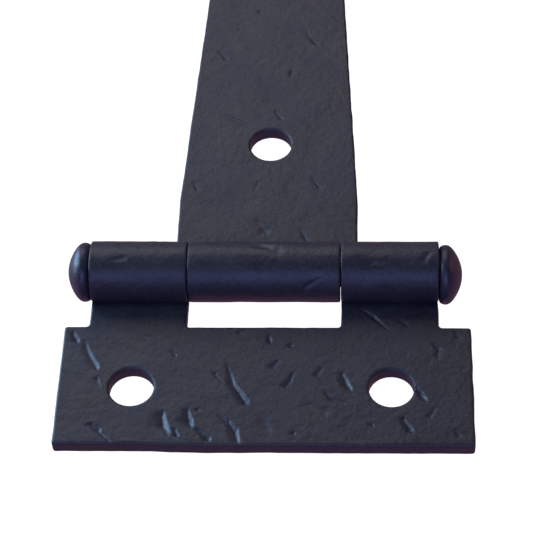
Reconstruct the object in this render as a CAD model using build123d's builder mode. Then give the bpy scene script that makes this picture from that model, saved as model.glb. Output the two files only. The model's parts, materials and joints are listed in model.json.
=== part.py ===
from build123d import *
import math
import os

# Tee hinge, 6 inch. Millimetres.
# X runs along the pin, +Y along the strap to its tip, +Z out of the door face.
# Z = 0 is the plane both leaves lie on; the pin axis crosses X = 0 above Y = 0.

# ---- Sheet, pin and the fit between them ----
sheet_t = 2.5
pin_d = 4.8
pin_clearance = 0.08  # radial, pin to rolled bore
bore_r = pin_d / 2 + pin_clearance
knuckle_r = bore_r + sheet_t
axis_z = knuckle_r  # the roll is tangent to the back plane
seam_gap = 0.22  # end of the roll above the leaf's front face
roll_end = 180 + math.degrees(math.asin((knuckle_r - sheet_t - seam_gap) / knuckle_r))

# ---- Knuckle row along the pin ----
centre_knuckle_w = 24.2
knuckle_gap = 0.25  # axial, each side of the centre knuckle
ear_inner = centre_knuckle_w / 2 + knuckle_gap
ear_w = 15.6
ear_outer = ear_inner + ear_w

# ---- Frame plate ----
plate_w = 65.0
plate_shift = 0.6  # the blank sits this far off the middle of the pin
plate_front_y = -31.85
shoulder_y = -9.1
plate_corner_r = 0.6
ear_corner_r = 0.6
screw_hole_d = 7.0
frame_hole_spacing = 40.6
frame_hole_y = -20.9

# ---- Strap ----
strap_len = 152.0  # pin axis to tip
strap_shoulder_w = 2.9  # root stands out this far past the centre knuckle
strap_root_w = centre_knuckle_w + 2 * strap_shoulder_w
strap_shoulder_y = 7.0
strap_taper_y = 17.5  # parallel up to here
strap_neck_y = strap_len - 40.0
strap_neck_w = 20.0
spear_w = 28.4
spear_widest_y = strap_len - 28.0
spear_tip_w = 1.6
strap_corner_r = 0.6
tongue_corner_r = 0.6
spear_tip_r = 0.75
strap_hole_count = 3
strap_first_hole_y = 30.0
strap_last_hole_y = strap_len - 22.0
strap_hole_spacing = (strap_last_hole_y - strap_first_hole_y) / (strap_hole_count - 1)

# ---- Pin ----
head_gap = 0.15  # axial, head to outer knuckle
head_d = 9.64
head_foot_d = 8.4  # where the head meets the knuckle's end
head_under_t = 1.05  # from there out to the widest ring
dome_h = 2.6
head_x = ear_outer + head_gap

# ---- Edge rounding ----
front_edge_r = 0.45
back_edge_r = 0.2
hole_edge_r = 0.4

cut_h = 3 * knuckle_r
clear_y = knuckle_r + 1.0


def outline_edges(leaf, height):
    """Outline edges of a leaf's flat face at this height, less the line where the roll starts."""
    face = leaf.faces().filter_by(Axis.Z).filter_by(
        lambda f: abs(f.center().Z - height) < 0.01
    )
    outline = face.sort_by(SortBy.AREA)[-1].outer_wire().edges()
    return outline.filter_by(lambda e: abs(e.center().Y) > 0.01)


# ================= Frame leaf: plate and two outer knuckles =================
# One blank: plate, two ears, each ear rolled up, over and down to the front face.
with BuildPart() as frame_leaf:
    with BuildSketch(Plane.YZ):
        with BuildLine():
            foot = Line((plate_front_y, 0), (0, 0))
            outer = CenterArc((0, axis_z), knuckle_r, -90, roll_end + 90)
            inner = CenterArc((0, axis_z), bore_r, -90, roll_end + 90)
            Line(outer @ 1, inner @ 1)
            Line((0, sheet_t), (plate_front_y, sheet_t))
            Line((plate_front_y, sheet_t), (plate_front_y, 0))
        make_face()
    extrude(amount=plate_w, both=True)

    with BuildSketch(Plane.XY) as frame_blank:
        with Locations((plate_shift, (plate_front_y + shoulder_y) / 2)):
            Rectangle(plate_w, shoulder_y - plate_front_y)
        fillet(frame_blank.vertices(), plate_corner_r)
        ear_len = clear_y - shoulder_y + plate_corner_r
        with Locations(
            ((ear_inner + ear_outer) / 2, clear_y - ear_len / 2),
            (-(ear_inner + ear_outer) / 2, clear_y - ear_len / 2),
        ):
            Rectangle(ear_w, ear_len)
        ear_roots = frame_blank.vertices().filter_by(
            lambda v: abs(v.Y - shoulder_y) < 0.01 and abs(v.X) < ear_outer + 0.01
        )
        fillet(ear_roots, ear_corner_r)
    extrude(amount=cut_h, mode=Mode.INTERSECT)

    with Locations((0, frame_hole_y, sheet_t)):
        with GridLocations(frame_hole_spacing, 1, 2, 1):
            Hole(screw_hole_d / 2, sheet_t)
    rims = frame_leaf.edges().filter_by(GeomType.CIRCLE).filter_by(
        lambda e: abs(e.radius - screw_hole_d / 2) < 0.01
    )
    fillet(rims, hole_edge_r)
    fillet(outline_edges(frame_leaf, sheet_t), front_edge_r)
    fillet(outline_edges(frame_leaf, 0), back_edge_r)
frame_leaf.part.label = "frame_leaf"


# ================= Strap leaf: tapered strap and centre knuckle =================
with BuildPart() as strap_leaf:
    with BuildSketch(Plane.YZ):
        with BuildLine():
            Line((strap_len, 0), (0, 0))
            outer = CenterArc((0, axis_z), knuckle_r, -90, -(roll_end + 90))
            inner = CenterArc((0, axis_z), bore_r, -90, -(roll_end + 90))
            Line(outer @ 1, inner @ 1)
            Line((0, sheet_t), (strap_len, sheet_t))
            Line((strap_len, sheet_t), (strap_len, 0))
        make_face()
    extrude(amount=strap_root_w, both=True)

    with BuildSketch(Plane.XY) as strap_blank:
        with BuildLine():
            Line((0, strap_shoulder_y), (strap_root_w / 2, strap_shoulder_y))
            Line((strap_root_w / 2, strap_shoulder_y), (strap_root_w / 2, strap_taper_y))
            taper = Line(
                (strap_root_w / 2, strap_taper_y), (strap_neck_w / 2, strap_neck_y)
            )
            flare = Spline(
                taper @ 1,
                (spear_w / 2, spear_widest_y),
                tangents=(taper % 1, (0, 1)),
            )
            Spline(
                flare @ 1, (spear_tip_w / 2, strap_len), tangents=((0, 1), (-0.75, 1))
            )
            Line((spear_tip_w / 2, strap_len), (0, strap_len))
            mirror(about=Plane.YZ)
        make_face()
        with Locations((0, (strap_shoulder_y + 1 - clear_y) / 2)):
            Rectangle(centre_knuckle_w, strap_shoulder_y + 1 + clear_y)
        shoulder = strap_blank.vertices().filter_by(
            lambda v: abs(v.Y - strap_shoulder_y) < 0.01
        )
        fillet(shoulder.filter_by(lambda v: abs(v.X) > strap_root_w / 2 - 1), strap_corner_r)
        tongue = strap_blank.vertices().filter_by(
            lambda v: abs(v.Y - strap_shoulder_y) < 0.01
            and abs(abs(v.X) - centre_knuckle_w / 2) < 0.01
        )
        fillet(tongue, tongue_corner_r)
        tip = strap_blank.vertices().filter_by(lambda v: v.Y > strap_len - 0.01)
        fillet(tip, spear_tip_r)
    extrude(amount=cut_h, mode=Mode.INTERSECT)

    with Locations((0, (strap_first_hole_y + strap_last_hole_y) / 2, sheet_t)):
        with GridLocations(1, strap_hole_spacing, 1, strap_hole_count):
            Hole(screw_hole_d / 2, sheet_t)
    rims = strap_leaf.edges().filter_by(GeomType.CIRCLE).filter_by(
        lambda e: abs(e.radius - screw_hole_d / 2) < 0.01
    )
    fillet(rims, hole_edge_r)
    fillet(outline_edges(strap_leaf, sheet_t), front_edge_r)
    fillet(outline_edges(strap_leaf, 0), back_edge_r)
strap_leaf.part.label = "strap_leaf"


# ================= Hinge pin: rivet with a domed head on each end =================
with BuildPart() as hinge_pin:
    with BuildSketch(Plane.XZ):
        with BuildLine():
            head_r = head_d / 2
            widest_x = head_x + head_under_t
            tip_x = widest_x + dome_h
            Line((0, axis_z), (0, axis_z + pin_d / 2))
            Line((0, axis_z + pin_d / 2), (head_x, axis_z + pin_d / 2))
            Line((head_x, axis_z + pin_d / 2), (head_x, axis_z + head_foot_d / 2))
            under_mid_r = head_foot_d / 2 + 0.68 * (head_r - head_foot_d / 2)
            ThreePointArc(
                (head_x, axis_z + head_foot_d / 2),
                (head_x + 0.4 * head_under_t, axis_z + under_mid_r),
                (widest_x, axis_z + head_r),
            )
            dome = Spline(
                (widest_x, axis_z + head_r),
                (widest_x + 0.33 * dome_h, axis_z + 0.88 * head_r),
                (widest_x + 0.66 * dome_h, axis_z + 0.65 * head_r),
                (widest_x + 0.92 * dome_h, axis_z + 0.33 * head_r),
                (tip_x, axis_z),
                tangents=((1, 0), (0, -1)),
            )
            Line(dome @ 1, (0, axis_z))
        make_face()
    revolve(axis=Axis((0, 0, axis_z), (1, 0, 0)))
    mirror(about=Plane.YZ)
hinge_pin.part.label = "hinge_pin"


os.makedirs("parts", exist_ok=True)
export_step(frame_leaf.part, "parts/frame_leaf.step")
export_step(strap_leaf.part, "parts/strap_leaf.step")
export_step(hinge_pin.part, "parts/hinge_pin.step")
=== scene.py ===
import json
import math

import bmesh
import bpy
import numpy as np
from mathutils import Matrix, Vector


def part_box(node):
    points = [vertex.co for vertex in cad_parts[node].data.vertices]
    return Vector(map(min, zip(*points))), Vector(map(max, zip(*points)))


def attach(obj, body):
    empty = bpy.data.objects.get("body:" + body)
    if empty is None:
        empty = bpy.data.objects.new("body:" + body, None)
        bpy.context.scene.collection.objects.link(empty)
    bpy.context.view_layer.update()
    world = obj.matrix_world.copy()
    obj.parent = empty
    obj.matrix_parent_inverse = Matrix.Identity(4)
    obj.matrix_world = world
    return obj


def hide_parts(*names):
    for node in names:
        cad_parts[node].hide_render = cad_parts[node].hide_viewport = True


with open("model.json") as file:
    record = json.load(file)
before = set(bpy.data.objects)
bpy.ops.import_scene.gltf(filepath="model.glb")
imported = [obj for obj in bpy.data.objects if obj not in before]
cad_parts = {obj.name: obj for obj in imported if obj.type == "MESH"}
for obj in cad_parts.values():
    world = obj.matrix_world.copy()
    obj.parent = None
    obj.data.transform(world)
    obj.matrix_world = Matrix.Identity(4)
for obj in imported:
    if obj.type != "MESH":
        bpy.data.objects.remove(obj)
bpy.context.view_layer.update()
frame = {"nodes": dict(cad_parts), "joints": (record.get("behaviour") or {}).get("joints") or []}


# ---------------------------------------------------------------------------
# Frame leaf. One blank of 2.5 mm sheet steel: a plate with two screw holes and
# two ears. Each ear is rolled up and over the pin into an outer knuckle, and
# the face is hammered before the black powder coat goes on.

# Shapes are drawn in millimetres and brought to metres when a piece is done.
MM = 0.001
NEAR = 0.01
SHEET = 2.5
pin_height = frame["joints"][0]["pos_m"][2] / MM
leaf_low, leaf_high = (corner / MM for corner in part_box("frame_leaf"))
plate_left, plate_front = leaf_low.x, leaf_low.y
shoulder_y = -9.1
ear_inside, ear_outside = 12.28, 27.98
frame_holes = ((-20.3, -20.9), (20.3, -20.9))
HOLE_R = 3.5
COLLAR_R = 4.1
COLLAR_SQUARE = 5.0
FRAME_CELL = 0.62
ROLL_STEPS = 56
seam_lift = 0.22
roll_angle = math.radians(270) + math.asin((pin_height - SHEET - seam_lift) / pin_height)


def take_in_hand(piece):
    """Leaves this piece alone selected, in edit mode."""
    bpy.ops.object.select_all(action="DESELECT")
    bpy.context.view_layer.objects.active = piece
    piece.select_set(True)
    bpy.ops.object.mode_set(mode="EDIT")


def pick_edges(test, open_only=False):
    """Selects only the edges whose two ends pass the test together."""
    bpy.ops.mesh.select_mode(type="EDGE")
    bpy.ops.mesh.select_all(action="DESELECT")
    shape = bmesh.from_edit_mesh(bpy.context.object.data)
    for edge in shape.edges:
        if open_only and len(edge.link_faces) > 1:
            continue
        if test(edge.verts[0].co, edge.verts[1].co):
            edge.select_set(True)
    bmesh.update_edit_mesh(bpy.context.object.data)


def pick_faces(test):
    """Selects only the faces whose middle and normal pass the test."""
    bpy.ops.mesh.select_mode(type="FACE")
    bpy.ops.mesh.select_all(action="DESELECT")
    shape = bmesh.from_edit_mesh(bpy.context.object.data)
    for face in shape.faces:
        if test(face.calc_center_median(), face.normal):
            face.select_set(True)
    bmesh.update_edit_mesh(bpy.context.object.data)


def pick_rims(on_face, test):
    """Selects the edges between a face that passes on_face and one that doesn't."""
    bpy.ops.mesh.select_mode(type="EDGE")
    bpy.ops.mesh.select_all(action="DESELECT")
    shape = bmesh.from_edit_mesh(bpy.context.object.data)
    shape.normal_update()
    for edge in shape.edges:
        if len(edge.link_faces) == 2:
            first, second = (on_face(f.calc_center_median(), f.normal) for f in edge.link_faces)
            if first != second and test((edge.verts[0].co + edge.verts[1].co) / 2):
                edge.select_set(True)
    bmesh.update_edit_mesh(bpy.context.object.data)


def draw_out(x, y, z=0.0):
    """Extrudes what is selected by this much."""
    bpy.ops.mesh.extrude_region_move(TRANSFORM_OT_translate={"value": (x, y, z)})


def divide(length, cell, test):
    """Cuts the edges that pass the test, each this long, into cells of about this size."""
    pick_edges(test)
    cuts = round(length / cell) - 1
    if cuts > 0:
        bpy.ops.mesh.subdivide(number_cuts=cuts)


def punch_collar(x, y, half, column_lean=lambda at: 1.0):
    """Opens a square of cells round a screw hole and fills it with a round collar."""
    centre = Vector((x, y))
    pick_faces(lambda c, n: abs(c.x - x) < half * column_lean(c.y) and abs(c.y - y) < half)
    bpy.ops.mesh.delete(type="FACE")

    def round_hole(a, b):
        return (a.xy - centre).length < 1.6 * half and (b.xy - centre).length < 1.6 * half

    pick_edges(round_hole, open_only=True)
    for radius, share in ((COLLAR_R, 0.5), (COLLAR_R, 1.0), (HOLE_R, 1.0)):
        draw_out(0, 0)
        shape = bmesh.from_edit_mesh(bpy.context.object.data)
        ring = [(math.atan2(p.co.y - y, p.co.x - x), p) for p in shape.verts if p.select]
        ring.sort(key=lambda pair: pair[0])
        pace = 2 * math.pi / len(ring)
        lean = sum(angle - pace * place for place, (angle, p) in enumerate(ring)) / len(ring)
        for place, (angle, p) in enumerate(ring):
            even = lean + pace * place
            on_ring = centre + radius * Vector((math.cos(even), math.sin(even)))
            p.co.xy = p.co.xy.lerp(on_ring, share)
        bmesh.update_edit_mesh(bpy.context.object.data)


def face_outward():
    """Makes every face of the closed piece in hand look outward."""
    bpy.ops.mesh.select_all(action="SELECT")
    bpy.ops.mesh.normals_make_consistent(inside=False)
    if bmesh.from_edit_mesh(bpy.context.object.data).calc_volume(signed=True) < 0:
        bpy.ops.mesh.flip_normals()


def thicken_and_round(corners, holes):
    """Gives the flat blank its thickness, then rounds its corners, rims and screw holes."""
    bpy.ops.mesh.select_all(action="SELECT")
    draw_out(0, 0, SHEET)
    face_outward()
    pick_edges(
        lambda a, b: abs(a.z - b.z) > 1
        and any(abs(a.x - x) < NEAR and abs(a.y - y) < NEAR for x, y in corners)
    )
    bpy.ops.mesh.bevel(offset=0.5, segments=3, affect="EDGES")

    def near_hole(middle):
        return any((middle.xy - Vector(hole)).length < HOLE_R + 0.5 for hole in holes)

    def outline(middle):
        return abs(middle.y) > NEAR and not near_hole(middle)

    def face(c, n):
        return abs(c.z - SHEET) < NEAR and abs(n.z) > 0.9

    def back(c, n):
        return abs(c.z) < NEAR and abs(n.z) > 0.9

    for side, place, offset, segments in (
        (face, near_hole, 0.4, 3),
        (back, near_hole, 0.25, 2),
        (face, outline, 0.38, 3),
        (back, outline, 0.25, 2),
    ):
        pick_rims(side, place)
        bpy.ops.mesh.bevel(offset=offset, segments=segments, affect="EDGES")
    pick_edges(lambda a, b: abs(a.z - b.z) > 1)
    bpy.ops.mesh.subdivide(number_cuts=2)


def roll_knuckles(turn):
    """Rolls the sheet's open ends at y = 0 round the pin, then eases the end of the roll."""
    pick_faces(lambda c, n: abs(c.y) < NEAR and abs(n.y) > 0.9)
    bpy.ops.mesh.spin(
        steps=ROLL_STEPS,
        angle=-turn * roll_angle,
        center=(0, 0, pin_height),
        axis=(1, 0, 0),
    )
    face_outward()
    along = Vector((0, turn * math.cos(roll_angle), math.sin(roll_angle)))
    axis = Vector((0, 0, pin_height))

    def roll_end(c, n):
        out = c - axis
        return abs(out.dot(along)) < NEAR and abs(n.dot(along)) > 0.9 and c.z < pin_height

    pick_rims(roll_end, lambda middle: True)
    bpy.ops.mesh.bevel(offset=0.3, segments=2, affect="EDGES")


plate_stations = (plate_left, -ear_outside, -ear_inside, ear_inside, ear_outside, leaf_high.x)
bpy.ops.object.select_all(action="DESELECT")
bpy.ops.mesh.primitive_plane_add(size=1, location=(0, 0, 0))
frame_leaf = bpy.context.object
frame_leaf.name = "hammered_frame_leaf"
first_w = plate_stations[1] - plate_stations[0]
plate_depth = shoulder_y - plate_front
frame_leaf.scale = (first_w, plate_depth, 1)
frame_leaf.location = (plate_left + first_w / 2, plate_front + plate_depth / 2, 0)
bpy.ops.object.transform_apply(location=True, rotation=False, scale=True)
take_in_hand(frame_leaf)
for here, there in zip(plate_stations[1:], plate_stations[2:]):
    pick_edges(lambda a, b: abs(a.x - here) < NEAR and abs(b.x - here) < NEAR)
    draw_out(there - here, 0)
for side in (-1, 1):
    middle_x = side * (ear_inside + ear_outside) / 2
    pick_edges(
        lambda a, b: abs(a.y - shoulder_y) < NEAR
        and abs(b.y - shoulder_y) < NEAR
        and abs((a.x + b.x) / 2 - middle_x) < NEAR
    )
    draw_out(0, -shoulder_y)
for start, end in zip(plate_stations, plate_stations[1:]):
    divide(
        end - start,
        FRAME_CELL,
        lambda a, b: abs(abs(a.x - b.x) - (end - start)) < NEAR
        and abs((a.x + b.x - start - end) / 2) < NEAR,
    )
for depth in (plate_depth, -shoulder_y):
    divide(depth, FRAME_CELL, lambda a, b: abs(abs(a.y - b.y) - depth) < NEAR)
for hole in frame_holes:
    punch_collar(*hole, half=COLLAR_SQUARE)
frame_corners = [(x, y) for x in (plate_left, leaf_high.x) for y in (plate_front, shoulder_y)]
frame_corners += [(side * x, shoulder_y) for side in (-1, 1) for x in (ear_inside, ear_outside)]
thicken_and_round(frame_corners, frame_holes)
roll_knuckles(1)
bpy.ops.object.mode_set(mode="OBJECT")


def refine(piece):
    """One level of subdivision, which also softens every rounded rim."""
    softener = piece.modifiers.new("soften", "SUBSURF")
    softener.levels = softener.render_levels = 1
    bpy.ops.object.modifier_apply(modifier=softener.name)


refine(frame_leaf)

# The hammer's strokes on the plate: the reach of each, then its path as x, y and depth.
frame_strokes = (
    (0.9, ((-5.6, -16.2, 0.05), (-4.9, -18.4, 0.2))),
    (1.3, ((-4.9, -18.4, 0.2), (-4.4, -20.4, 0.42), (-3.3, -22.1, 0.5), (-2.3, -23.8, 0.6))),
    (0.9, ((-7.3, -18.4, 0.2), (-5.9, -20.2, 0.1))),
    (1.1, ((2.5, -16.0, 0.2), (1.7, -17.0, 0.4))),
    (1.0, ((5.0, -18.4, 0.15), (4.5, -19.8, 0.32), (3.9, -20.6, 0.42))),
    (0.9, ((1.0, -11.0, 0.2), (1.2, -12.1, 0.42))),
    (0.8, ((4.5, -12.9, 0.45),)),
    (0.7, ((-3.8, -10.4, 0.2),)),
    (1.0, ((9.3, -17.5, 0.2), (8.7, -18.6, 0.34))),
    (1.2, ((12.6, -18.4, 0.25), (13.1, -19.6, 0.5), (13.9, -21.2, 0.36))),
    (0.8, ((10.0, -21.9, 0.16), (11.2, -23.2, 0.32), (13.0, -24.0, 0.14))),
    (0.9, ((24.2, -21.0, 0.3), (24.8, -22.0, 0.6), (25.6, -23.2, 0.3))),
    (0.9, ((26.9, -12.4, 0.12), (27.9, -13.4, 0.32), (27.6, -14.9, 0.16))),
    (1.0, ((27.0, -24.8, 0.1), (26.2, -26.3, 0.24))),
    (1.1, ((22.1, -27.0, 0.3), (23.2, -28.8, 0.5))),
    (0.9, ((17.3, -27.9, 0.28),)),
    (0.9, ((5.3, -29.6, 0.34),)),
    (1.9, ((-15.2, -26.4, 0.4), (-14.9, -28.2, 0.6), (-14.2, -29.4, 0.3))),
    (0.9, ((-13.0, -29.0, 0.2), (-12.6, -30.0, 0.34))),
    (1.5, ((-11.3, -25.6, 0.25), (-10.9, -27.4, 0.65), (-10.7, -28.0, 0.5))),
    (1.2, ((-9.4, -29.0, 0.2), (-7.8, -30.6, 0.5))),
    (0.9, ((-6.4, -26.3, 0.14), (-4.8, -27.6, 0.32))),
    (1.3, ((-4.8, -27.6, 0.32), (-3.7, -29.2, 0.56), (-3.3, -31.0, 0.36))),
    (1.3, ((-25.9, -28.3, 0.3), (-24.8, -29.1, 0.45))),
    (0.7, ((-24.8, -29.4, 0.26), (-22.9, -31.3, 0.14))),
    (1.3, ((-30.4, -10.6, 0.25), (-29.7, -11.9, 0.5))),
    (1.6, ((-28.4, -12.3, 0.12), (-27.5, -14.8, 0.34), (-26.2, -17.1, 0.42))),
    (1.4, ((-25.8, -19.6, 0.2), (-25.3, -20.8, 0.12))),
    (1.0, ((15.8, -5.8, 0.15), (17.6, -7.2, 0.34), (19.8, -9.6, 0.12))),
    (1.0, ((21.9, -7.9, 0.16), (22.8, -8.6, 0.3))),
    (1.0, ((-14.3, -14.2, 0.12), (-13.7, -14.8, 0.22))),
    (0.8, ((-9.6, -25.3, 0.25),)),
    (1.0, ((30.4, -9.8, 0.1), (30.9, -11.0, 0.24))),
    (1.0, ((30.0, -28.9, 0.1), (30.6, -29.8, 0.18))),
    (2.6, ((0.4, -26.4, 0.08), (1.4, -28.6, 0.16))),
    (2.8, ((7.6, -24.4, 0.06), (10.0, -25.6, 0.14))),
    (2.2, ((-20.5, -10.0, 0.06), (-18.8, -11.4, 0.12))),
)


# How fast a stroke fades to its left, its right and past its ends, and the share
# of its reach that the lightest stroke keeps.
FADE_LEFT, FADE_RIGHT, FADE_AHEAD = 0.75, 2.3, 1.4
LIGHTEST = 0.55


def stroke_depth(u, v, strokes):
    """How deep the hammer's edge went at u, v: a long slope on the left, a steep wall right."""
    depth = np.zeros(len(u))
    for reach, path in strokes:
        for (u0, v0, deep0), (u1, v1, deep1) in zip(path, path[1:] or path):
            run = max((u1 - u0) ** 2 + (v1 - v0) ** 2, 1e-6)
            share = np.clip(((u - u0) * (u1 - u0) + (v - v0) * (v1 - v0)) / run, 0, 1)
            aside, ahead = u - u0 - share * (u1 - u0), v - v0 - share * (v1 - v0)
            deep = deep0 + (deep1 - deep0) * share
            slope = aside < 0
            fade = np.where(slope, FADE_LEFT, FADE_RIGHT)
            away = np.hypot(aside * fade, FADE_AHEAD * ahead) / (reach * (LIGHTEST + deep))
            away = np.clip(away, 0, 1)
            shape = np.where(slope, (1 - away) ** 2, (1 - away**1.5) ** 1.4)
            depth = np.maximum(depth, deep * shape)
    return depth


WAVE_COUNT, WAVE_SPREAD = 24, 14


def unevenness(u, v, length, height, seed):
    """Random rise and fall, from 0 to this height, in waves of about this length."""
    chance = np.random.default_rng(seed)
    total = np.zeros(len(u))
    waves = chance.uniform((0, 0.7, 0), (2 * math.pi, 1.5, 6.3), (WAVE_COUNT, 3))
    for heading, size, start in waves:
        pace = 2 * math.pi / (length * size)
        total += np.sin(pace * (u * math.cos(heading) + v * math.sin(heading)) + start)
    return height * np.clip(0.5 + total / WAVE_SPREAD, 0, 1)


def both_sizes(u, v, waves, seed):
    """Broad and fine unevenness together."""
    broad, fine = waves
    return unevenness(u, v, *broad, seed) + unevenness(u, v, *fine, seed + 1)


# Length and height of the waves left by the hammer, broad ones and fine ones.
FACE_WAVES = ((9, 0.08), (3.2, 0.026))
ROLL_WAVES = ((8, 0.1), (2.8, 0.024))
EDGE_WAVES = ((7, 0.09), (2.4, 0.04))
BACK_WAVE = (10, 0.04)
# Where the hammering takes over: up through the sheet, up from the face into the
# roll, out through the roll's wall, and away from a screw hole.
FACE_FROM, BACK_TO, SHEET_FADE = 1.2, 1.3, 1.2
ROLL_FROM, ROLL_FADE = 2.9, 0.5
WALL_FROM, WALL_FADE = 3.4, 1.5
HOLE_MARGIN = 0.6
ROLL_MM_PER_DEGREE = 0.087
ROLL_EDGE_SPARED = 0.7
INSET = 0.0005


def hammer(piece, node, face_strokes, roll_strokes, holes, seed, turn):
    """Dents the face and the roll, leaves nothing quite even, and notes how deep it went and where
    the rims are, for the coat's gloss and painted light.
    """
    count = len(piece.data.vertices)
    spots, normals = np.empty(3 * count), np.empty(3 * count)
    piece.data.vertices.foreach_get("co", spots)
    piece.data.vertices.foreach_get("normal", normals)
    x, y, z = spots.reshape(-1, 3).T.copy()
    out = np.hypot(y, z - pin_height)
    rolled = np.clip((z - ROLL_FROM) / ROLL_FADE + np.clip(turn * y, 0, 9), 0, 1)
    round_pin = np.arctan2(z - pin_height, -turn * y)
    along = pin_height * round_pin

    top = np.clip((z - FACE_FROM) / SHEET_FADE, 0, 1) * (1 - rolled)
    under = np.clip((BACK_TO - z) / SHEET_FADE, 0, 1) * (1 - rolled)
    pressed = stroke_depth(x, y, face_strokes)
    uneven = both_sizes(x, y, FACE_WAVES, seed)
    z = z - top * (uneven + pressed) + under * unevenness(x, y, *BACK_WAVE, seed + 2)

    skin = np.clip((out - WALL_FROM) / WALL_FADE, 0, 1) * rolled
    bent = stroke_depth(x, np.degrees(round_pin) * ROLL_MM_PER_DEGREE, roll_strokes)
    uneven = both_sizes(x, along, ROLL_WAVES, seed + 3)
    y, z = (
        y - y / out * skin * (uneven + bent),
        z - (z - pin_height) / out * skin * (uneven + bent),
    )

    side_x, side_y, _ = normals.reshape(-1, 3).T
    clear = np.ones(count)
    for hole in holes:
        from_rim = np.hypot(x - hole[0], y - hole[1]) - HOLE_R - HOLE_MARGIN
        clear *= np.clip(from_rim / HOLE_MARGIN, 0, 1)
    broad, fine = EDGE_WAVES
    painted_light_and_wear = unevenness(x + y, x - y, *broad, seed + 5) + unevenness(x, y, *fine, seed + 6)
    x = x - side_x * clear * painted_light_and_wear * (1 - ROLL_EDGE_SPARED * rolled)
    y = y - side_y * (1 - rolled) * clear * painted_light_and_wear

    low, high = (np.array(corner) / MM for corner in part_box(node))
    spots = np.clip(np.stack((x, y, z), axis=1), low + INSET, high - INSET)
    piece.data.vertices.foreach_set("co", spots.ravel())
    sideways = np.clip(np.hypot(side_x, side_y * (1 - rolled)), 0, 1)
    # The rim value marks rounded rims, where the coat paints a lighter tone: partly thin coat,
    # partly painted highlight.
    for name, amount in (
        # The hollow value is the strokes' depth: the coat is glossier there and painted lighter, as
        # painted light that lifts the dents' shade.
        ("hollow", top * pressed + skin * bent),
        ("rim", 4 * sideways**2 * (1 - sideways**2)),
    ):
        piece.data.attributes.new(name, "FLOAT", "POINT")
        piece.data.attributes[name].data.foreach_set("value", amount.astype(np.float32))
    piece.data.update()


FINE_REACH, FINE_FROM = 1.25, 0.02


def cut_finer(piece, strokes):
    """Halves the cells of the face under the strokes, so their walls can be steep."""
    take_in_hand(piece)
    bpy.ops.mesh.select_mode(type="FACE")
    bpy.ops.mesh.select_all(action="DESELECT")
    shape = bmesh.from_edit_mesh(piece.data)
    faces = [
        f
        for f in shape.faces
        if f.normal.z > 0.9 and abs(f.calc_center_median().z - SHEET) < 0.1
    ]
    middles = np.array([f.calc_center_median().xy for f in faces])
    wider = [(FINE_REACH * reach, path) for reach, path in strokes]
    for face, deep in zip(faces, stroke_depth(*middles.T, wider)):
        if deep > FINE_FROM:
            face.select_set(True)
    bmesh.update_edit_mesh(piece.data)
    bpy.ops.mesh.subdivide(number_cuts=1)
    bpy.ops.object.mode_set(mode="OBJECT")


# Strokes on the rolled ears: the path runs as x, distance round the roll and depth.
outer_knuckle_strokes = (
    (1.2, ((25.6, 6.2, 0.2), (26.2, 7.6, 0.36))),
    (1.4, ((17.6, 6.0, 0.2), (19.0, 5.8, 0.12))),
    (1.4, ((-24.0, 6.4, 0.12), (-22.2, 6.8, 0.18))),
    (1.2, ((-17.6, 11.6, 0.1), (-16.8, 12.4, 0.18))),
)
cut_finer(frame_leaf, frame_strokes)
hammer(frame_leaf, "frame_leaf", frame_strokes, outer_knuckle_strokes, frame_holes, seed=11, turn=1)
# How far the sheared front edge stands back along x, and how deep in y that tells.
front_step = (
    (-40, 0.22),
    (-16.5, 0.26),
    (-13.5, 0.06),
    (-8, 0.0),
    (0, 0.06),
    (2, 0.1),
    (9, 0.05),
    (40, 0.12),
)
FRONT_REACH = 2.5
for point in frame_leaf.data.vertices:
    edge = 1 - (point.co.y - plate_front) / FRONT_REACH
    if edge > 0:
        point.co.y += edge * np.interp(point.co.x, *zip(*front_step))


def to_metres(piece):
    """Brings a piece drawn in millimetres to metres, its object unscaled at the origin."""
    bpy.ops.object.select_all(action="DESELECT")
    bpy.context.view_layer.objects.active = piece
    piece.select_set(True)
    piece.scale = (MM, MM, MM)
    bpy.ops.object.transform_apply(location=True, rotation=True, scale=True)
    bpy.ops.object.shade_smooth()


to_metres(frame_leaf)


# How much lighter than the light tone the coat is painted: on rims as thin coat and painted
# highlight, in stroke hollows as painted light.
WEAR_AND_PAINTED_LIGHT_GAIN = 2.6


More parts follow.
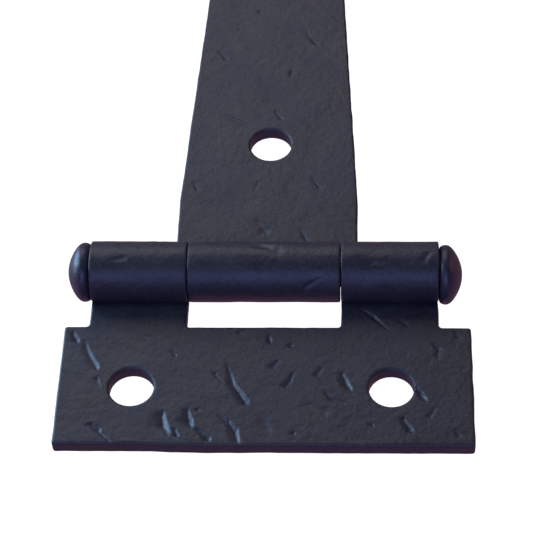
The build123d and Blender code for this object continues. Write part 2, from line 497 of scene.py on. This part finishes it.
def powder_coat(name, dark, light, gloss, peel):
    """A satin powder coat in two close tones with an orange peel, painted lighter on rims (thin
    coat and painted highlight) and in stroke hollows (painted light).
    """
    coat = bpy.data.materials.new(name)
    coat.use_nodes = True
    nodes, links = coat.node_tree.nodes, coat.node_tree.links
    surface = nodes["Principled BSDF"]
    place = nodes.new("ShaderNodeTexCoord")

    def speckle(cell, detail):
        grain = nodes.new("ShaderNodeTexNoise")
        grain.inputs["Scale"].default_value = 1 / (cell * MM)
        grain.inputs["Detail"].default_value = detail
        grain.inputs["Roughness"].default_value = 0.6
        links.new(place.outputs["Object"], grain.inputs["Vector"])
        return grain.outputs["Fac"]

    def spread(source, low, high, least, most):
        span = nodes.new("ShaderNodeMapRange")
        for socket, value in zip(span.inputs[1:5], (low, high, least, most)):
            socket.default_value = value
        links.new(source, span.inputs["Value"])
        return span.outputs["Result"]

    def combine(how, first, second):
        sum_node = nodes.new("ShaderNodeMath")
        sum_node.operation = how
        for socket, source in zip(sum_node.inputs, (first, second)):
            if isinstance(source, float):
                socket.default_value = source
            else:
                links.new(source, socket)
        return sum_node.outputs["Value"]

    clouds = speckle(7.0, 3.0)
    pores = speckle(0.55, 4.0)
    peel_noise = speckle(1.3, 2.0)
    tone = combine(
        "ADD", spread(clouds, 0.3, 0.7, 0.0, 0.7), spread(pores, 0.35, 0.65, -0.25, 0.35)
    )
    colour = nodes.new("ShaderNodeMix")
    colour.data_type = "RGBA"
    colour.inputs["A"].default_value = (*dark, 1)
    colour.inputs["B"].default_value = (*light, 1)
    links.new(tone, colour.inputs["Factor"])
    rim = nodes.new("ShaderNodeAttribute")
    rim.attribute_name = "rim"
    hollow = nodes.new("ShaderNodeAttribute")
    hollow.attribute_name = "hollow"
    # The colour is painted lighter on rounded rims, partly as a thin coat and partly as a painted
    # highlight, and in the strokes' hollows as painted light that lifts their shade and highlights.
    painted_light_and_wear_mix = nodes.new("ShaderNodeMix")
    painted_light_and_wear_mix.data_type = "RGBA"
    painted_light_and_wear_mix.inputs["B"].default_value = (*(WEAR_AND_PAINTED_LIGHT_GAIN * part for part in light), 1)
    links.new(colour.outputs["Result"], painted_light_and_wear_mix.inputs["A"])
    painted_light_and_wear = combine(
        "MAXIMUM",
        spread(rim.outputs["Fac"], 0.2, 1.0, 0.0, 0.1),
        spread(hollow.outputs["Fac"], 0.02, 0.2, 0.0, 0.3),
    )
    links.new(painted_light_and_wear, painted_light_and_wear_mix.inputs["Factor"])
    links.new(painted_light_and_wear_mix.outputs["Result"], surface.inputs["Base Color"])
    pooled = spread(hollow.outputs["Fac"], 0.05, 0.3, 0.0, -0.09)
    uneven = combine("ADD", spread(clouds, 0.3, 0.7, -0.05, 0.05), pooled)
    gritty = combine("ADD", spread(pores, 0.35, 0.65, gloss - 0.04, gloss + 0.05), uneven)
    links.new(gritty, surface.inputs["Roughness"])
    relief = combine("ADD", peel_noise, combine("MULTIPLY", pores, 0.35))
    bump = nodes.new("ShaderNodeBump")
    bump.inputs["Strength"].default_value = 1.0
    bump.inputs["Distance"].default_value = peel * MM
    links.new(relief, bump.inputs["Height"])
    links.new(bump.outputs["Normal"], surface.inputs["Normal"])
    return coat


leaf_coat = powder_coat(
    "hammered_black_coat",
    dark=(0.018, 0.0195, 0.0245),
    light=(0.034, 0.0365, 0.045),
    gloss=0.48,
    peel=0.1,
)
frame_leaf.data.materials.append(leaf_coat)
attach(frame_leaf, "frame")
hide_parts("frame_leaf")


# ---------------------------------------------------------------------------
# Strap leaf. One blank of the same sheet: a long strap that tapers to a leaf
# point, rolled at its root into the centre knuckle between the two ears.
strap_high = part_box("strap_leaf")[1] / MM
tip_y = strap_high.y
knuckle_half = 12.24
root_half = strap_high.x
root_y, taper_y, neck_y = 7.0, 17.5, tip_y - 40
RIM_CELL = 0.6
STRAP_CELL = 0.84
KNUCKLE_CELLS = round(2 * knuckle_half / STRAP_CELL)
first_hole_y, last_hole_y = 30, tip_y - 22
strap_holes = ((0, first_hole_y), (0, (first_hole_y + last_hole_y) / 2), (0, last_hole_y))
BACK_EDGE = 0.2
blank_rim = sorted(
    (v.co.y / MM, v.co.x / MM)
    for v in frame["nodes"]["strap_leaf"].data.vertices
    if v.co.x > 0
    and v.co.y / MM > root_y + 1
    and abs(v.co.z / MM - BACK_EDGE) < 0.02
    and all((v.co.xy / MM - Vector(hole)).length > HOLE_R + 1 for hole in strap_holes)
)


def half_width(y):
    """Half the strap's width at y, from the rim of the blank."""
    return float(np.interp(y, *zip(*blank_rim)))


def row_spread(y):
    """How far the cells inside the rim are drawn in at y."""
    if y <= taper_y:
        return 1.0
    rim = RIM_CELL * min(1.0, half_width(y) / 4)
    return (half_width(y) - rim) / (root_half - RIM_CELL)


bpy.ops.object.select_all(action="DESELECT")
bpy.ops.mesh.primitive_plane_add(size=1, location=(0, 0, 0))
strap_leaf = bpy.context.object
strap_leaf.name = "hammered_strap_leaf"
strap_leaf.scale = (2 * knuckle_half, root_y, 1)
strap_leaf.location = (0, root_y / 2, 0)
bpy.ops.object.transform_apply(location=True, rotation=False, scale=True)
take_in_hand(strap_leaf)
point_rows = 20
strap_rows = [root_y, taper_y, neck_y]
strap_rows += [
    neck_y + (tip_y - neck_y) * step / point_rows for step in range(1, point_rows + 1)
]
for here, there in zip(strap_rows, strap_rows[1:]):
    pick_edges(lambda a, b: abs(a.y - here) < NEAR and abs(b.y - here) < NEAR)
    draw_out(0, there - here)
for inner_x, reach in (
    (knuckle_half, root_half - RIM_CELL - knuckle_half),
    (root_half - RIM_CELL, RIM_CELL),
):
    for side in (-1, 1):
        pick_edges(
            lambda a, b: abs(a.x - side * inner_x) < NEAR
            and abs(b.x - side * inner_x) < NEAR
            and min(a.y, b.y) > root_y - NEAR
        )
        draw_out(side * reach, 0)


def pick_points(test):
    """Selects only the points that pass the test."""
    bpy.ops.mesh.select_mode(type="VERT")
    bpy.ops.mesh.select_all(action="DESELECT")
    shape = bmesh.from_edit_mesh(bpy.context.object.data)
    for point in shape.verts:
        if test(point.co):
            point.select_set(True)
    bmesh.update_edit_mesh(bpy.context.object.data)


for width in (2 * knuckle_half, root_half - RIM_CELL - knuckle_half):
    divide(
        width,
        STRAP_CELL,
        lambda a, b: abs(a.y - b.y) < NEAR and abs(abs(a.x - b.x) - width) < NEAR,
    )
for row in strap_rows[2:]:
    pick_points(lambda p: abs(p.y - row) < NEAR and abs(p.x) < root_half - NEAR)
    bpy.ops.transform.resize(value=(row_spread(row), 1, 1), center_override=(0, row, 0))
    for side in (-1, 1):
        pick_points(lambda p: abs(p.y - row) < NEAR and p.x * side > root_half - NEAR)
        bpy.ops.transform.translate(value=(side * (half_width(row) - root_half), 0, 0))
for here, there in zip([0] + strap_rows, strap_rows):
    divide(
        there - here,
        STRAP_CELL,
        lambda a, b: abs(min(a.y, b.y) - here) < NEAR and abs(max(a.y, b.y) - there) < NEAR,
    )
spreads = [row_spread(row) for row in strap_rows]
for hole_x, hole_y in strap_holes:
    spread = np.interp(hole_y, strap_rows, spreads)
    column = 2 * knuckle_half / KNUCKLE_CELLS * spread
    punch_collar(
        hole_x,
        hole_y,
        half=round(COLLAR_SQUARE / column) * column,
        column_lean=lambda at: np.interp(at, strap_rows, spreads) / spread,
    )
strap_corners = [(side * root_half, root_y) for side in (-1, 1)]
strap_corners += [(side * knuckle_half, root_y) for side in (-1, 1)]
strap_corners += [(side * half_width(tip_y), tip_y) for side in (-1, 1)]
thicken_and_round(strap_corners, strap_holes)
roll_knuckles(-1)
bpy.ops.object.mode_set(mode="OBJECT")
refine(strap_leaf)
strap_strokes = (
    (0.9, ((-8.8, 37.0, 0.072), (-6.4, 35.8, 0.22), (-4.2, 34.3, 0.12))),
    (0.9, ((0.6, 37.6, 0.14), (1.6, 36.2, 0.3))),
    (0.8, ((2.9, 46.0, 0.1), (3.2, 47.2, 0.24))),
    (1.0, ((7.4, 22.0, 0.12), (8.6, 20.2, 0.24))),
    (2.4, ((-1.6, 12.6, 0.14), (-0.2, 10.6, 0.29))),
    (1.3, ((5.6, 11.0, 0.14), (6.6, 8.8, 0.3))),
    (1.0, ((-12.7, 21.2, 0.1), (-12.1, 19.9, 0.22))),
    (0.8, ((-1.8, 21.4, 0.14), (-2.4, 19.6, 0.072))),
    (0.7, ((10.4, 40.6, 0.14),)),
    (0.7, ((-6.6, 57.8, 0.16),)),
    (1.0, ((-9.8, 52.4, 0.1), (-8.6, 50.6, 0.22))),
    (1.2, ((5.6, 57.0, 0.072), (7.4, 54.4, 0.22))),
    (0.9, ((-3.0, 62.6, 0.22),)),
    (1.2, ((-1.2, 69.4, 0.086), (-0.4, 67.0, 0.24))),
    (1.4, ((-8.4, 88.0, 0.072), (-6.4, 84.6, 0.24))),
    (1.0, ((6.2, 76.0, 0.22), (6.9, 74.4, 0.1))),
    (0.9, ((2.4, 93.2, 0.24), (1.8, 92.0, 0.14))),
    (1.3, ((-2.6, 104.6, 0.072), (-0.8, 101.8, 0.29), (0.0, 100.4, 0.14))),
    (1.0, ((7.4, 108.6, 0.22), (7.9, 107.0, 0.12))),
    (1.2, ((-6.8, 114.8, 0.1), (-5.6, 112.4, 0.24))),
    (1.0, ((-9.8, 126.4, 0.24), (-9.2, 124.8, 0.14))),
    (1.3, ((7.8, 121.8, 0.086), (9.6, 118.6, 0.22))),
    (1.1, ((8.2, 133.6, 0.24), (8.8, 131.8, 0.12))),
    (1.3, ((-3.4, 142.4, 0.086), (-1.8, 139.2, 0.26))),
    (0.9, ((2.6, 146.2, 0.22),)),
)
knuckle_strokes = (
    (1.8, ((1.0, 7.0, 0.2), (2.4, 7.3, 0.36))),
    (1.9, ((-0.6, 6.1, 0.2), (0.8, 6.5, 0.3))),
    (0.9, ((6.2, 14.6, 0.1), (7.4, 13.4, 0.34), (9.0, 12.2, 0.14))),
)
cut_finer(strap_leaf, strap_strokes)
hammer(strap_leaf, "strap_leaf", strap_strokes, knuckle_strokes, strap_holes, seed=23, turn=-1)
to_metres(strap_leaf)
strap_leaf.data.materials.append(leaf_coat)
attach(strap_leaf, "strap")
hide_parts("strap_leaf")


# ---------------------------------------------------------------------------
# Hinge pin. A smooth steel rivet through all three knuckles, with a domed head
# formed on each end after assembly, and coated black with the rest.
pin_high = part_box("hinge_pin")[1] / MM
SHANK_R = 2.4
HEAD_R = pin_high.z - pin_height
head_inside = 28.04
under_head = 1.05
head_foot_r = 4.2
AROUND = 96
DOME_STEPS = 14
DOME_FLATTEN = 0.055
# Each formed head sits a little off the shank: its side, and how far in y and z.
# Its rings up to the still radius stay true to the shank.
head_offsets = ((-1, -0.1, -0.06), (1, -0.46, -0.12))
STILL_R = 3.3
pin_middle = Vector((0, pin_height))


def draw_ring_out(x, radius):
    """Extrudes the ring in hand along the pin to x and to this radius."""
    shape = bmesh.from_edit_mesh(bpy.context.object.data)
    ring = [p.co.copy() for p in shape.verts if p.select]
    at_x = sum(p.x for p in ring) / len(ring)
    at_radius = max((p.yz - pin_middle).length for p in ring)
    draw_out(x - at_x, 0)
    change = radius / at_radius
    bpy.ops.transform.resize(value=(1, change, change), center_override=(x, 0, pin_height))


bpy.ops.object.select_all(action="DESELECT")
bpy.ops.mesh.primitive_circle_add(
    vertices=AROUND, radius=SHANK_R, location=(0, 0, pin_height), rotation=(0, math.pi / 2, 0)
)
hinge_pin = bpy.context.object
hinge_pin.name = "rivet_pin"
bpy.ops.object.transform_apply(location=True, rotation=True, scale=True)
take_in_hand(hinge_pin)
bpy.ops.mesh.select_mode(type="EDGE")
bpy.ops.mesh.select_all(action="SELECT")
for station in (6, 12, 18, 24, head_inside - 0.3):
    draw_ring_out(station, SHANK_R)
for radius in (SHANK_R + 0.1, 3.0, 3.6, head_foot_r - 0.06):
    draw_ring_out(head_inside, radius)
for lift in (10, 30, 50, 70, 90):
    turn = math.radians(lift)
    draw_ring_out(
        head_inside + under_head * (1 - math.cos(turn)),
        head_foot_r + (HEAD_R - head_foot_r) * math.sin(turn),
    )
widest_x = head_inside + under_head
dome_high = pin_high.x - widest_x
for step in range(1, DOME_STEPS):
    turn = math.radians(90 * step / DOME_STEPS)
    flatten = 1 - DOME_FLATTEN * math.sin(2 * turn) ** 2
    draw_ring_out(
        widest_x + dome_high * math.sin(turn) * flatten,
        HEAD_R * math.cos(turn) * flatten,
    )
bpy.ops.mesh.edge_face_add()
bpy.ops.mesh.poke()
shape = bmesh.from_edit_mesh(hinge_pin.data)
crown = max(shape.verts, key=lambda p: (round(p.co.x, 4), -abs(p.co.z - pin_height)))
crown.co.x = pin_high.x
bmesh.update_edit_mesh(hinge_pin.data)
bpy.ops.object.mode_set(mode="OBJECT")
other_half = hinge_pin.modifiers.new("second_head", "MIRROR")
other_half.use_axis[0] = True
other_half.merge_threshold = 0.01
bpy.ops.object.modifier_apply(modifier=other_half.name)
take_in_hand(hinge_pin)
face_outward()
for side, back, drop in head_offsets:
    pick_points(
        lambda p: side * p.x > head_inside - NEAR
        and (side * p.x > head_inside + NEAR or (p.yz - pin_middle).length > STILL_R)
    )
    bpy.ops.transform.translate(value=(0, back, drop))
bpy.ops.object.mode_set(mode="OBJECT")
refine(hinge_pin)
to_metres(hinge_pin)
hinge_pin.data.materials.append(
    powder_coat(
        "rivet_black_coat",
        dark=(0.022, 0.021, 0.034),
        light=(0.031, 0.030, 0.048),
        gloss=0.42,
        peel=0.05,
    )
)
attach(hinge_pin, "pin")
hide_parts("hinge_pin")


# ---------------------------------------------------------------------------
# Floor. A plain white sheet that the hinge lies on, so brightly lit that it
# shows no shadow and sends little light back under the hinge.
bpy.ops.object.select_all(action="DESELECT")
bpy.ops.mesh.primitive_plane_add(size=6, location=(0, 0, -0.0002))
floor = bpy.context.object
floor.name = "pale_floor"
floor_paint = bpy.data.materials.new("pale_floor_paint")
floor_paint.use_nodes = True
floor_surface = floor_paint.node_tree.nodes["Principled BSDF"]
floor_surface.inputs["Base Color"].default_value = (0.1, 0.1, 0.1, 1)
floor_surface.inputs["Roughness"].default_value = 1.0
floor_surface.inputs["Emission Color"].default_value = (1, 1, 1, 1)
floor_surface.inputs["Emission Strength"].default_value = 1.1
floor.data.materials.append(floor_paint)
floor.visible_diffuse = floor.visible_glossy = floor.visible_shadow = False


# ---------------------------------------------------------------------------
# Studio light. A large, nearly white sheet of light overhead at the back left,
# two small blue ones on the left, a weak warm one on the right, a deep blue one
# in front, and a dim purple room.
world = bpy.data.worlds.new("studio")
bpy.context.scene.world = world
world.use_nodes = True
room, lines = world.node_tree.nodes, world.node_tree.links
dim = room["Background"]
dim.inputs["Strength"].default_value = 0.5
compass = room.new("ShaderNodeTexCoord")
height = room.new("ShaderNodeSeparateXYZ")
lines.new(compass.outputs["Generated"], height.inputs["Vector"])
above = room.new("ShaderNodeMapRange")
above.inputs["From Min"].default_value = -0.25
above.inputs["From Max"].default_value = 0.25
lines.new(height.outputs["Z"], above.inputs["Value"])
walls = room.new("ShaderNodeMix")
walls.data_type = "RGBA"
walls.inputs["A"].default_value = (0.70, 0.34, 0.58, 1)
walls.inputs["B"].default_value = (0.15, 0.12, 0.22, 1)
lines.new(above.outputs["Result"], walls.inputs["Factor"])
lines.new(walls.outputs["Result"], dim.inputs["Color"])
bright = room.new("ShaderNodeBackground")
bright.inputs["Strength"].default_value = 1.1
seen = room.new("ShaderNodeLightPath")
either = room.new("ShaderNodeMixShader")
lines.new(seen.outputs["Is Camera Ray"], either.inputs["Fac"])
lines.new(dim.outputs["Background"], either.inputs[1])
lines.new(bright.outputs["Background"], either.inputs[2])
lines.new(either.outputs["Shader"], room["World Output"].inputs["Surface"])
bpy.context.scene.view_settings.view_transform = "Standard"


def soft_light(name, place, toward, size, colour, power):
    """A square sheet of light at place, facing toward."""
    sheet = bpy.data.lights.new(name, "AREA")
    sheet.size = size
    sheet.color = colour
    sheet.energy = power
    lamp = bpy.data.objects.new(name, sheet)
    lamp.location = place
    lamp.rotation_euler = (Vector(toward) - Vector(place)).to_track_quat("-Z", "Y").to_euler()
    bpy.context.scene.collection.objects.link(lamp)


soft_light("overhead", (-0.13, 0.5, 0.48), (0, 0, 0), 0.4, (1.0, 0.94, 0.97), 1.04)
soft_light("left_window", (-0.34, 0.15, 0.075), (0, 0, 0), 0.24, (0.40, 0.66, 1.0), 2.0)
soft_light("left_high", (-0.32, 0.02, 0.26), (0, 0, 0), 0.1, (0.62, 0.80, 1.0), 0.35)
soft_light("right", (0.5, 0.15, 0.2), (0, 0, 0), 0.3, (1.0, 0.5, 0.25), 0.36)
soft_light("front", (-0.05, -0.54, 0.36), (0, 0, 0), 0.4, (0.32, 0.41, 1.0), 1.75)


# ---------------------------------------------------------------------------
# Camera. A long lens above the plate's front edge, looking down the strap.
camera_data = bpy.data.cameras.new("long_lens")
camera_data.lens = 127.6
camera_data.sensor_width = 36
camera_data.clip_start = 0.01
camera = bpy.data.objects.new("camera", camera_data)
bpy.context.scene.collection.objects.link(camera)
looking_down, turned, tilted = (math.radians(a) for a in (51.59, -3.93, 2.98))
camera.matrix_world = (
    Matrix.Translation(Vector((16.1, -199.35, 254.88)) * MM)
    @ Matrix.Rotation(-turned, 4, "Z")
    @ Matrix.Rotation(math.radians(90) - looking_down, 4, "X")
    @ Matrix.Rotation(-tilted, 4, "Z")
)
bpy.context.scene.camera = camera
